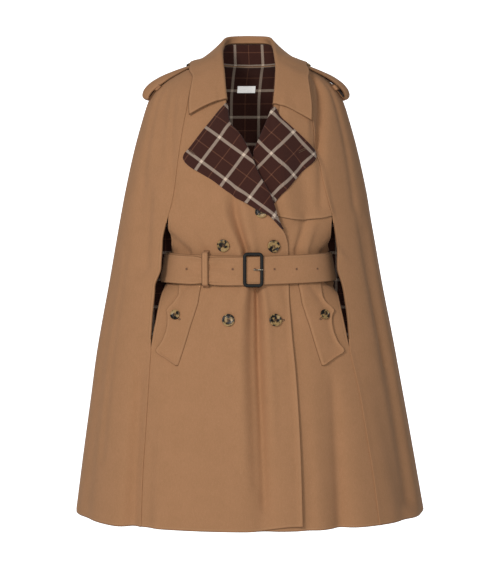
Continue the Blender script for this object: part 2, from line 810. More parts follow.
# Leather wrapped round the buckle's frame: nearly black, with a fine grain.
LEATHER = Plain("dark_buckle_leather", "#0E0D0B", "#181613", 1.2, (0.3, 0.7), 0.5, 0.0, 0.12, 0.0, 0.22)
# Plated zinc of the buckle's pin, dulled by handling.
PIN_METAL = Plain("dulled_nickel_pin", "#8A8272", "#A9A190", 2.0, (0.3, 0.7), 0.34, 1.0, 0.02)
# Cotton thread of the buttons and buttonholes.
THREAD = Plain("waxed_thread", "#5A4130", "#6E513B", 0.8, (0.3, 0.7), 0.8, 0.0, 0.1)
CAMEL_THREAD = Plain("camel_thread", "#8A6242", "#A5795A", 0.8, (0.3, 0.7), 0.85, 0.0, 0.1)
# Woven tape of the blank label.
TAPE = Plain("white_woven_tape", "#E9E7E2", "#F4F2EE", 0.9, (0.3, 0.7), 0.8, 0.0, 0.08, 0.5)


class Finishes:
    """Every finish of the cape, built once."""

    def __init__(self) -> None:
        """Builds the materials."""
        self.camel = CamelWool().dress()
        self.check = CheckedWool().dress()
        self.horn = HORN.dress()
        self.leather = LEATHER.dress()
        self.metal = PIN_METAL.dress()
        self.thread = THREAD.dress()
        self.camel_thread = CAMEL_THREAD.dress()
        self.tape = TAPE.dress()


@dataclass(frozen=True)
class Cut:
    """The flat cut of one piece of cloth, in metres and square metres."""

    width: float
    length: float
    area: float


@dataclass
class Grid:
    """A wall of cloth over a grid: its two faces, its cloth coordinates and its edge distances.

    Attributes:
        outer: Points of the outer face, rows by columns by 3.
        inner: Points of the inner face.
        edge: Distance to the nearest stitched edge, in mm.
        rim: Distance to the nearest border, in mm, where the cloth is pressed thin.
    """

    outer: Array
    inner: Array
    cloth: Array
    edge: Array
    rim: Array | None = None


def spans(points: Array, axis: int) -> Array:
    """Running length along one axis of a grid of points."""
    steps = np.linalg.norm(np.diff(points, axis=axis), axis=-1)
    pad = [(1, 0), (0, 0)] if axis == 0 else [(0, 0), (1, 0)]
    return np.pad(np.cumsum(steps, axis=axis), pad)


def edge_distance(points: Array, finished: str) -> Array:
    """How far each point of a grid is from its nearest finished edge.

    Args:
        points: The grid.
        finished: Which borders are finished, out of t, b, l and r.

    Returns:
        The distances, large where no border is finished.
    """
    across, down = spans(points, 1), spans(points, 0)
    far = np.full(across.shape, UNSEWN)
    if "l" in finished:
        far = np.minimum(far, across)
    if "r" in finished:
        far = np.minimum(far, across[:, -1:] - across)
    if "t" in finished:
        far = np.minimum(far, down)
    if "b" in finished:
        far = np.minimum(far, down[-1:, :] - down)
    return far


def cloth_plan(points: Array, middle: int) -> Array:
    """Where each point lies on the flat cloth, with the grain down one column."""
    across = spans(points, 1)
    across = across - across[:, middle : middle + 1]
    down = spans(points, 0)
    down = np.repeat(down[:, middle : middle + 1], points.shape[1], axis=1)
    return np.stack([across, -down], axis=-1)


def turned_plan(x: Array, z: Array, turn: float) -> Array:
    """Where each point lies on the flat cloth of a lapel, whose grain turns with the fold."""
    c, s = math.cos(math.radians(turn)), math.sin(math.radians(turn))
    return np.stack([x * c + z * s, -x * s + z * c], axis=-1)


ROUND = 0.8  # mm that a wall's edge swells beyond its faces
UNSEWN = 500.0  # mm to the nearest stitched edge, where none is near


def wall_mesh(name: str, grid: Grid) -> bpy.types.Mesh:
    """Makes a closed wall with softly rounded edges.

    Args:
        name: The mesh's name.
        grid: The wall.

    Returns:
        The mesh, with a Cloth and an Edge UV map, and material 0 outside and 1 inside.
    """
    outer, inner = grid.outer.copy(), grid.inner.copy()
    rows, columns = outer.shape[:2]
    ring = [(0, i) for i in range(columns)] + [(j, columns - 1) for j in range(1, rows)]
    ring += [(rows - 1, i) for i in range(columns - 2, -1, -1)] + [(j, 0) for j in range(rows - 2, 0, -1)]
    back_in = []
    for j, i in ring:
        nj = 1 if j == 0 else rows - 2 if j == rows - 1 else j
        ni = 1 if i == 0 else columns - 2 if i == columns - 1 else i
        back_in.append((nj, ni))
    middle = np.array([(outer[r] + inner[r]) / 2 for r in ring])
    inside = np.array([(outer[b] + inner[b]) / 2 for b in back_in])
    way = unit(middle - inside)
    reach = np.minimum(ROUND, 0.4 * np.linalg.norm(middle - inside, axis=1))[:, None]
    for k, place in enumerate(ring):
        outer[place] -= way[k] * reach[k]
        inner[place] -= way[k] * reach[k]
    count = rows * columns
    points = np.concatenate([outer.reshape(-1, 3), inner.reshape(-1, 3), middle]) * MM
    index = np.arange(count).reshape(rows, columns)
    a, b, c, d = index[:-1, :-1], index[1:, :-1], index[1:, 1:], index[:-1, 1:]
    top = np.stack([a, b, c, d], axis=-1).reshape(-1, 4)
    under = np.stack([a, d, c, b], axis=-1).reshape(-1, 4) + count
    flat = [j * columns + i for j, i in ring]
    rim = []
    for k in range(len(ring)):
        n = (k + 1) % len(ring)
        mid_k, mid_n = 2 * count + k, 2 * count + n
        rim.append((flat[k], flat[n], mid_n, mid_k))
        rim.append((mid_k, mid_n, flat[n] + count, flat[k] + count))
    faces = np.concatenate([top, under, np.array(rim)])
    mesh = bpy.data.meshes.new(name)
    mesh.from_pydata(points.tolist(), [], faces.tolist())
    mesh.update()
    material = np.concatenate([np.zeros(len(top), int), np.ones(len(under), int), np.zeros(len(rim), int)])
    mesh.polygons.foreach_set("material_index", material)
    mesh.polygons.foreach_set("use_smooth", np.ones(len(faces), bool))
    flat_index = np.array(flat)
    plan = grid.cloth.reshape(-1, 2)
    plan = np.concatenate([plan, plan, plan[flat_index]]) * MM
    far = grid.edge.reshape(-1)
    far = np.concatenate([far, far, far[flat_index]]) * MM
    rim_far = (edge_distance(grid.outer, "tblr") if grid.rim is None else grid.rim).reshape(-1)
    rim_far = np.concatenate([rim_far, rim_far, rim_far[flat_index]]) * MM
    loops = np.empty(len(mesh.loops), int)
    mesh.loops.foreach_get("vertex_index", loops)
    mesh.uv_layers.new(name="Cloth").data.foreach_set("uv", plan[loops].ravel())
    edge_uv = np.stack([far[loops], rim_far[loops]], axis=-1)
    mesh.uv_layers.new(name="Edge").data.foreach_set("uv", edge_uv.ravel())
    facing_out(mesh)
    return mesh


def facing_out(mesh: bpy.types.Mesh) -> None:
    """Turns a closed mesh's faces round where they point inwards."""
    work = bmesh.new()
    work.from_mesh(mesh)
    if work.calc_volume(signed=True) < 0:
        bmesh.ops.reverse_faces(work, faces=work.faces)
    work.to_mesh(mesh)
    work.free()


def through(middle: Array, thick: float = CLOTH) -> tuple[Array, Array]:
    """The two faces of a wall whose middle passes through a grid of points."""
    across = np.gradient(middle, axis=1)
    down = np.gradient(middle, axis=0)
    out = unit(np.cross(across, down)) * (thick / 2)
    return middle + out, middle - out


@dataclass
class Dresser:
    """Puts finished pieces into the scene and tells the frame about them."""

    finishes: Finishes

    def put(self, mesh: bpy.types.Mesh, node: str | None, slot: str) -> bpy.types.Object:
        """Adds a mesh as a piece.

        Args:
            mesh: The mesh, in metres in the cape's frame.
            node: The solid that it stands for, if any.
            slot: The record's material slot.

        Returns:
            The new object.
        """
        piece = bpy.data.objects.new(mesh.name, mesh)
        bpy.context.scene.collection.objects.link(piece)
        return self.settle(piece, node, slot)

    def settle(self, piece: bpy.types.Object, node: str | None, slot: str) -> bpy.types.Object:
        """Lets an object ride with the cape and stand for its solid."""
        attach(piece, "root")
        if node:
            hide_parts(node)
        log.info("%s: %d faces", piece.name, len(piece.data.polygons))
        return piece

    def sheet(
        self,
        node: str,
        grid: Grid,
        cut: Cut,
        rests_on: Sequence[str],
        face: Face = Face.CAMEL_OUT,
        both: bool = False,
    ) -> bpy.types.Object:
        """Adds a wall of cloth and declares its cut.

        Args:
            node: The solid that it stands for.
            grid: The wall.
            cut: Its flat cut.
            rests_on: What carries it.
            face: Which face of the wool is on its outer side.
            both: Whether both sides show camel, as where the cloth is turned in double.

        Returns:
            The new object.
        """
        mesh = wall_mesh(f"{node}_cloth", grid)
        camel, check = self.finishes.camel, self.finishes.check
        order = (camel, check) if face is Face.CAMEL_OUT else (check, camel)
        for material in (camel, camel) if both else order:
            mesh.materials.append(material)
        piece = self.put(mesh, node, "wool" if face is Face.CAMEL_OUT else "check")
        area = float(np.linalg.norm(np.cross(*quad_sides(grid)), axis=-1).sum()) * MM * MM
        log.info("%s: middle area %.4f m2", node, area)
        list(rests_on)
        return piece


def quad_sides(grid: Grid) -> tuple[Array, Array]:
    """The two sides of each cell of a wall's middle, for its area."""
    middle = (grid.outer + grid.inner) / 2
    return middle[:-1, 1:] - middle[:-1, :-1], middle[1:, :-1] - middle[:-1, :-1]


def heights(top: float, bottom: float, step: float) -> Array:
    """Heights of rows, closer together over the shoulder, where the form bends most."""
    places = [top]
    while places[-1] > bottom:
        z = places[-1]
        pace = step * (0.18 + 0.82 * float(smooth(-z, 5.0, 90.0)))
        places.append(max(bottom, z - pace))
    if places[-2] - places[-1] < 0.3 * step:
        del places[-2]
    return np.array(places)


def between(start: Array, end: Array, count: int, tight: float = 1.6) -> Array:
    """Places from one edge to another in each row, closer together at both edges."""
    share = np.linspace(0.0, 1.0, count)
    near = tight / np.maximum(np.abs(end - start), 4 * tight)
    share = np.broadcast_to(share, (len(start), count)).copy()
    share[:, 1] = np.minimum(near, share[:, 1])
    share[:, -2] = np.maximum(1.0 - near, share[:, -2])
    return start[:, None] + (end - start)[:, None] * share


def hung(points: Array) -> Array:
    """Lets the hem hang a little lower where the right side's cloth is heaviest."""
    x, z = points[..., 0], points[..., 2]
    drop = 3.5 * np.exp(-(((x + 262.0) / 55.0) ** 2)) * smooth(-z, 700.0, 920.0) * (points[..., 1] < 0)
    return points - np.stack([np.zeros_like(x), np.zeros_like(x), drop], axis=-1)


@dataclass
class Shell:
    """The cape's main panels: two fronts, two sides and the back."""

    dresser: Dresser
    step: float = 6.0
    seam: float = 0.8
    lap: float = 1.8  # mm that a side's edge lies over its neighbour's, at a lapped seam
    ridge: float = 1.5  # mm that a lapped seam, pressed thin, stands up
    wide: float = 10.0  # mm over which it comes down again
    columns: int = 104  # of a front, close enough for its narrow creases
    lift: float = 3.4  # mm that the free edge stands off below the belt

    def front(self, hand: Hand, cut: Cut, rests_on: Sequence[str]) -> bpy.types.Object:
        """Builds one front, from its neckline and roll to its side seam and slit."""
        z = heights(-2.0, HEM, self.step)
        inner = INNER_OF[hand](z)
        side = hand.value * side_of(hand, z)
        x = between(inner, side, self.columns)
        zz = np.broadcast_to(z[:, None], x.shape)
        level = FRONT_LEVEL[hand](x, zz)
        if hand is Hand.RIGHT:
            # Below the belt its free edge stands off a little.
            near_edge = 1.0 - smooth(inner[:, None] - x, 0.0, 12.0)
            level = level + self.lift * near_edge * smooth(-zz, 462.0, 540.0)
        outer = hung(off_front(x, zz, level))
        inward = hung(off_front(x, zz, level - CLOTH))
        if hand is Hand.RIGHT:
            # The overlapping front's corner is drawn up a little.
            rise = 8.0 * smooth(x, 5.0, 80.0) * smooth(-zz, 640.0, 928.0)
            outer[..., 2] += rise
            inward[..., 2] += rise
        slit = (zz < SLIT_TOP - 6) & (zz > SLIT_BOTTOM + 6)
        edge = np.where(slit, edge_distance(outer, "r"), UNSEWN)
        grid = Grid(outer, inward, cloth_plan(outer, 20), edge, np.minimum(edge_distance(outer, "lb"), edge))
        return self.dresser.sheet(f"{hand.word}_front", grid, cut, rests_on)

    def side(self, hand: Hand, cut: Cut, rests_on: Sequence[str]) -> bpy.types.Object:
        """Builds the cape over one arm, lapped over the front and the back where it is sewn to them."""
        z = heights(-28.0, HEM, self.step)
        above = smooth(z, SLIT_TOP - 4.0, SLIT_TOP + 14.0)
        below = smooth(-z, -SLIT_BOTTOM - 4.0, -SLIT_BOTTOM + 14.0)
        sewn = np.maximum(above, below)
        edge = SIDE_OF[hand](z) + SLIT_OF[hand](z) + self.seam - (self.seam + self.lap) * sewn
        start = CAPE.angle_at(hand.value * edge, z)
        end = hand.value * (math.pi / 2 + (self.seam + self.lap) / CAPE.back(z))
        turn = between(start, end, 48, 0.008)
        zz = np.broadcast_to(z[:, None], turn.shape)
        flat = CAPE.on(turn, zz, False)
        at_front = sewn[:, None] * (1.0 - smooth(edge_distance(flat, "l"), 4.0, self.wide))
        at_back = 1.0 - smooth(edge_distance(flat, "r"), 4.0, self.wide)
        # On the wearer's left the storm flap is caught in the seam too.
        caught = (CLOTH + REST) * smooth(zz, -345.0, -330.0) * (hand is Hand.LEFT)
        raised = (self.ridge + caught) * at_front + self.ridge * at_back
        under = (CLOTH + 0.2 + caught) * at_front + (CLOTH + 0.2) * at_back - CLOTH
        outer = hung(CAPE.off(turn, zz, raised))
        inward = hung(CAPE.off(turn, zz, under))
        slit = (zz < SLIT_TOP - 6) & (zz > SLIT_BOTTOM + 6)
        edge_far = np.where(slit, edge_distance(outer, "l"), UNSEWN)
        rim = np.minimum(edge_distance(outer, "b"), edge_far)
        grid = Grid(outer, inward, cloth_plan(outer, 24), edge_far, rim)
        return self.dresser.sheet(f"{hand.word}_side", grid, cut, rests_on)

    def back(self, cut: Cut) -> bpy.types.Object:
        """Builds the back in one piece, from side seam to side seam."""
        z = heights(-2.0, HEM, self.step)
        share = np.linspace(0.0, 1.0, 150)
        seam = 0.4 / CAPE.back(z)
        turn = math.pi / 2 + seam[:, None] + (math.pi - 2 * seam)[:, None] * share
        drop = NECK_DROP * np.sin(np.pi * share)[None, :] * (1.0 - smooth(-z, 2.0, 110.0))[:, None]
        zz = np.broadcast_to(z[:, None], turn.shape) - drop
        zz = np.maximum(zz, HEM)
        outer = CAPE.off(turn, zz, 0.0)
        inward = CAPE.off(turn, zz, -CLOTH)
        plan = cloth_plan(inward, 75)
        plan[..., 0] += 29.0
        grid = Grid(outer, inward, plan, np.full(turn.shape, UNSEWN), edge_distance(outer, "b"))
        return self.dresser.sheet("back", grid, cut, ["collar_stand", "right_side", "left_side"])


@dataclass
class ChestPieces:
    """What is turned or laid over the chest: the two lapels and the storm flap."""

    dresser: Dresser

    def _fan(
        self, edge: Sequence[Sequence[float]], roll: Curve, count: tuple[int, int], start: float, end: float
    ):
        """Places between a lapel's outer edge and its roll, as a fan of straight lines."""
        line = np.array([(e[1], e[0]) for e in edge], float)
        run = np.concatenate([[0.0], np.cumsum(np.linalg.norm(np.diff(line, axis=0), axis=1))])
        across, down = Curve(np.stack([run, line[:, 0]], 1), 1), Curve(np.stack([run, line[:, 1]], 1), 1)
        share = np.linspace(0.0, 1.0, count[0])
        out_x, out_z = across(share * run[-1]), down(share * run[-1])
        roll_z = start + (end - start) * share
        return out_x, out_z, roll(roll_z), roll_z

    def right_lapel(self, cut: Cut) -> bpy.types.Object:
        """Builds the upper front's lapel, from its outer edge over its roll."""
        out_x, out_z, in_x, in_z = self._fan(RIGHT_LAPEL, INNER_OF[Hand.RIGHT], (110, 60), -105.0, -349.0)
        share = np.linspace(0.0, 1.0, 58)[None, :]
        x = out_x[:, None] + (in_x - out_x)[:, None] * share
        z = out_z[:, None] + (in_z - out_z)[:, None] * share
        level = right_lapel_level(x, z)
        outer = off_front(x, z, level)
        inward = off_front(x, z, level - CLOTH)
        over = self._over(in_x, in_z, right_lapel_level, Hand.RIGHT)
        grid = Grid(
            np.concatenate([outer, over[0]], axis=1),
            np.concatenate([inward, over[1]], axis=1),
            turned_plan(np.concatenate([x, over[2]], 1), np.concatenate([z, over[3]], 1), 53.0),
            np.zeros(1),
        )
        grid.edge = np.full(grid.outer.shape[:2], UNSEWN)
        return self.dresser.sheet("right_lapel", grid, cut, ["right_front"], Face.CHECK_OUT)

    def left_lapel(self, cut: Cut) -> bpy.types.Object:
        """Builds the lower front's lapel, which goes on under the upper front's roll."""
        start = Curve([(z, max(a, b - 8.0)) for z, b, a in INNER_EDGE], 1)
        out_x, out_z, in_x, in_z = self._fan(LEFT_LAPEL, start, (100, 50), -112.0, -304.0)
        share = np.linspace(1.0, 0.0, 50)[None, :]
        x = out_x[:, None] + (in_x - out_x)[:, None] * share
        z = out_z[:, None] + (in_z - out_z)[:, None] * share
        level = left_lapel_level(x, z)
        outer = off_front(x, z, level)
        inward = off_front(x, z, level - CLOTH)
        free = 1.0 - smooth(INNER_OF[Hand.RIGHT](in_z) - INNER_OF[Hand.LEFT](in_z), -14.0, 2.0)
        over = self._over(in_x, in_z, left_lapel_level, Hand.LEFT, free)
        grid = Grid(
            np.concatenate([over[0][:, ::-1], outer], axis=1),
            np.concatenate([over[1][:, ::-1], inward], axis=1),
            turned_plan(
                np.concatenate([over[2][:, ::-1], x], 1), np.concatenate([over[3][:, ::-1], z], 1), -45.0
            ),
            np.zeros(1),
        )
        grid.edge = np.full(grid.outer.shape[:2], UNSEWN)
        return self.dresser.sheet("left_lapel", grid, cut, ["storm_flap", "left_front"], Face.CHECK_OUT)

    def _over(self, x: Array, z: Array, level: Level, hand: Hand, free: Array | None = None):
        """The part of a lapel that goes round its roll, as outer and inner points and places."""
        turns = np.linspace(0.25, 1.0, 4)[None, :]
        reach = 2.8 * np.sin(turns * math.pi / 2)
        drop = 3.8 * (1.0 - np.cos(turns * math.pi / 2))
        if free is not None:
            reach = reach * (0.3 + 0.7 * free[:, None])
            drop = drop * free[:, None]
        xx = x[:, None] - hand.value * reach
        zz = np.broadcast_to(z[:, None], xx.shape)
        base = level(x, z)[:, None] - drop
        base = base * np.ones_like(xx)
        return off_front(xx, zz, base), off_front(xx, zz, base - CLOTH), xx, zz

    def storm_flap(self, cut: Cut) -> bpy.types.Object:
        """Builds the storm flap: sewn in at shoulder and side, free along its lower edge."""
        z = heights(-34.0, -326.0, 5.0)
        start = FLAP(z)
        x = between(start, side_of(Hand.LEFT, z) - 1.0, 34)
        share = (x - start[:, None]) / (x[:, -1:] - start[:, None])
        sag = 7.0 * np.sin(np.pi * share) * smooth(-z, 230.0, 326.0)[:, None]
        zz = z[:, None] - sag
        level = flap_level(x, zz)
        lifted = 1.6 * smooth(-zz, 296.0, 332.0) * np.sin(np.pi * share)
        outer = off_front(x, zz, level + lifted)
        inward = off_front(x, zz, level + lifted - CLOTH)
        plain = np.full(x.shape, UNSEWN)
        grid = Grid(outer, inward, cloth_plan(outer, 17), plain, edge_distance(outer, "lb"))
        return self.dresser.sheet("storm_flap", grid, cut, ["left_front", "left_side"])


@dataclass
class Collar:
    """The collar: a fall that turns over its roll, on a stand round the neck."""

    dresser: Dresser
    turn: float = 3.6
    least: float = 6.6
    bulge: float = 3.4  # mm that it rises over each strap's button
    stand_rim: float = 7.0
    aside: float = -4.0  # mm that its top stands towards the wearer's right
    fine: int = 8  # stations between two measured ones

    def _stations(self) -> dict[str, Array]:
        """Every station from the right front end round to the left, with its directions."""
        rows = np.array(COLLAR, float)
        place = np.arange(len(rows))
        fine = np.linspace(0.0, len(rows) - 1, (len(rows) - 1) * self.fine + 1)
        column = [Curve(np.stack([place, rows[:, c]], 1), 1)(fine) for c in range(rows.shape[1])]
        halves = []
        for hand in Hand:
            roll = np.stack([hand.value * column[0], column[1], column[2]], -1)
            roll[:, 0] += self.aside * smooth(column[2], -40.0, 20.0)
            lower = column[6] if hand is Hand.LEFT else 0.0 * column[6]
            roll[:, 2] -= 0.9 * lower
            edge_z = column[4] - lower
            edge = CAPE.off(hand.value * np.radians(column[3]), edge_z, column[5], False)
            edge[:, 0] -= CAPE.centre(edge_z) * (1.0 - smooth(edge[:, 1], -60.0, -20.0))
            seams = np.array([self._neck_at(hand, row[7], row[8]) for row in rows])
            neck = np.stack([Curve(np.stack([place, seams[:, k]], 1), 1)(fine) for k in range(3)], -1)
            halves.append({"roll": roll, "edge": edge, "rim": column[9], "neck": neck})
        right, left = halves
        both: dict[str, Array] = {key: np.concatenate([right[key], left[key][-2::-1]]) for key in right}
        along = unit(np.gradient(both["neck"], axis=0))
        out = unit(both["neck"] * np.array([1.0, 1.0, 0.0]))
        inwards = unit(np.cross(along, np.cross(out, along)))
        near = 1.0 - smooth(np.abs(both["neck"][:, 1]), 0.0, 45.0)
        both["foot"] = both["neck"] - inwards * (CLOTH / 2 + 0.7 + 1.3 * near)[:, None]
        run = unit(np.gradient(both["roll"], axis=0))
        up = both["roll"] - both["foot"]
        up = unit(up - run * (up * run).sum(-1, keepdims=True))
        over = unit(np.cross(up, run))
        wrong = (over * (both["edge"] - both["roll"])).sum(-1, keepdims=True) < 0
        over = np.where(wrong, -over, over)
        both["up"], both["over"] = up, over
        both["middle"] = both["roll"] - up * self.turn + over * self.turn
        both["inner"] = both["middle"] - over * self.turn
        stand = both["inner"] - both["foot"]
        long = np.linalg.norm(stand, axis=-1, keepdims=True)
        share = smooth(both["rim"], self.stand_rim - 2.0, self.stand_rim)[:, None]
        down = unit(up * (1.0 - share) + unit(stand) * share)
        both["split"] = both["inner"] - down * np.minimum(both["rim"][:, None], long * 0.5)
        return both

    def _neck_at(self, hand: Hand, seam_z: float, seam_angle: float) -> Array:
        """The neck seam's place on a front's neckline, or on the back's where an angle is given."""
        if seam_angle > 0:
            angle = math.radians(seam_angle)
            z = -2.0 + NECK_DROP * math.cos(angle)
            return CAPE.off(np.array(hand.value * angle), np.array(z), -CLOTH / 2, False)
        angle = CAPE.angle_at(INNER_OF[hand](seam_z), np.array(seam_z))
        return CAPE.off(angle, np.array(seam_z), -CLOTH / 2, False)

    def _clear(self, points: Array, least: Array) -> Array:
        """Pushes points out to at least a distance off the shoulders."""

        def value(x: Array, y: Array, z: Array) -> Array:
            deep = np.where(y < 0, CAPE.front(z), CAPE.back(z))
            return np.hypot((x - CAPE.centre(z)) / CAPE.half(z), y / deep) - 1.0

        for _ in range(2):
            x, y, z = points[..., 0], points[..., 1], points[..., 2]
            low, high = np.full(x.shape, -300.0), np.zeros(x.shape)
            for _ in range(24):
                middle = (low + high) / 2
                inside = value(x, y, middle) < 0
                low, high = np.where(inside, middle, low), np.where(inside, high, middle)
            slope = [
                value(x + 0.5, y, low) - value(x - 0.5, y, low),
                value(x, y + 0.5, low) - value(x, y - 0.5, low),
                value(x, y, np.minimum(low + 0.5, -0.01)) - value(x, y, low - 0.5),
            ]
            out = unit(np.stack(slope, -1))
            off = (z - low) * np.maximum(out[..., 2], 0.05)
            points = points + out * np.maximum(least - off, 0.0)[..., None]
        return points

    def fall(self, cut: Cut) -> bpy.types.Object:
        """Builds the fall: up from its inner rim, over the roll and down to its free edge."""
        s = self._stations()
        rim = [s["split"] + (s["inner"] - s["split"]) * t for t in np.linspace(0.0, 1.0, 5)[:-1]]
        turn = []
        for degree in np.linspace(0.0, 130.0, 9):
            c, q = math.cos(math.radians(degree)), math.sin(math.radians(degree))
            turn.append(s["middle"] - s["over"] * self.turn * c + s["up"] * self.turn * q)
        leave = turn[-1]
        # It stands up at the front and drops hollow onto the shoulders.
        sink = 5.0 - 12.0 * smooth(s["roll"][:, 2], -30.0, 12.0)
        between_point = leave + (s["edge"] - leave) * 0.4
        between_point[:, 2] += sink
        fall = []
        for t in np.linspace(0.0, 1.0, 25)[1:]:
            point = leave * (1 - t) ** 2 + between_point * 2 * t * (1 - t) + s["edge"] * t * t
            near = np.exp(-(((np.abs(point[:, 0]) - 117.0) / 13.0) ** 2) - (point[:, 1] / 13.0) ** 2)
            fall.append(self._clear(point, (self.least + self.bulge * near) * smooth(t * 6.0, 0.0, 1.6)))
        middle = np.stack(rim + turn + fall)
        outer, inward = through(middle)
        grid = Grid(outer, inward, cloth_plan(outer, middle.shape[1] // 2), np.full(outer.shape[:2], UNSEWN))
        return self.dresser.sheet("collar_fall", grid, cut, ["collar_stand", "storm_flap"], both=True)

    def stand(self, cut: Cut) -> bpy.types.Object:
        """Builds the stand, from the neck seam to the fall's inner rim."""
        s = self._stations()
        keep = s["rim"] >= self.stand_rim - 0.01
        foot, split = s["foot"][keep], s["split"][keep]
        top = split - unit(split - foot) * 1.2
        middle = np.stack([foot + (top - foot) * t for t in np.linspace(0.0, 1.0, 12)])
        outer, inward = through(middle)
        unsewn = np.full(middle.shape[:2], UNSEWN)
        grid = Grid(outer, inward, cloth_plan(middle, middle.shape[1] // 2), unsewn)
        grid.cloth[..., 0] += 29.0
        return self.dresser.sheet("collar_stand", grid, cut, ["back"], Face.CHECK_OUT, both=False)


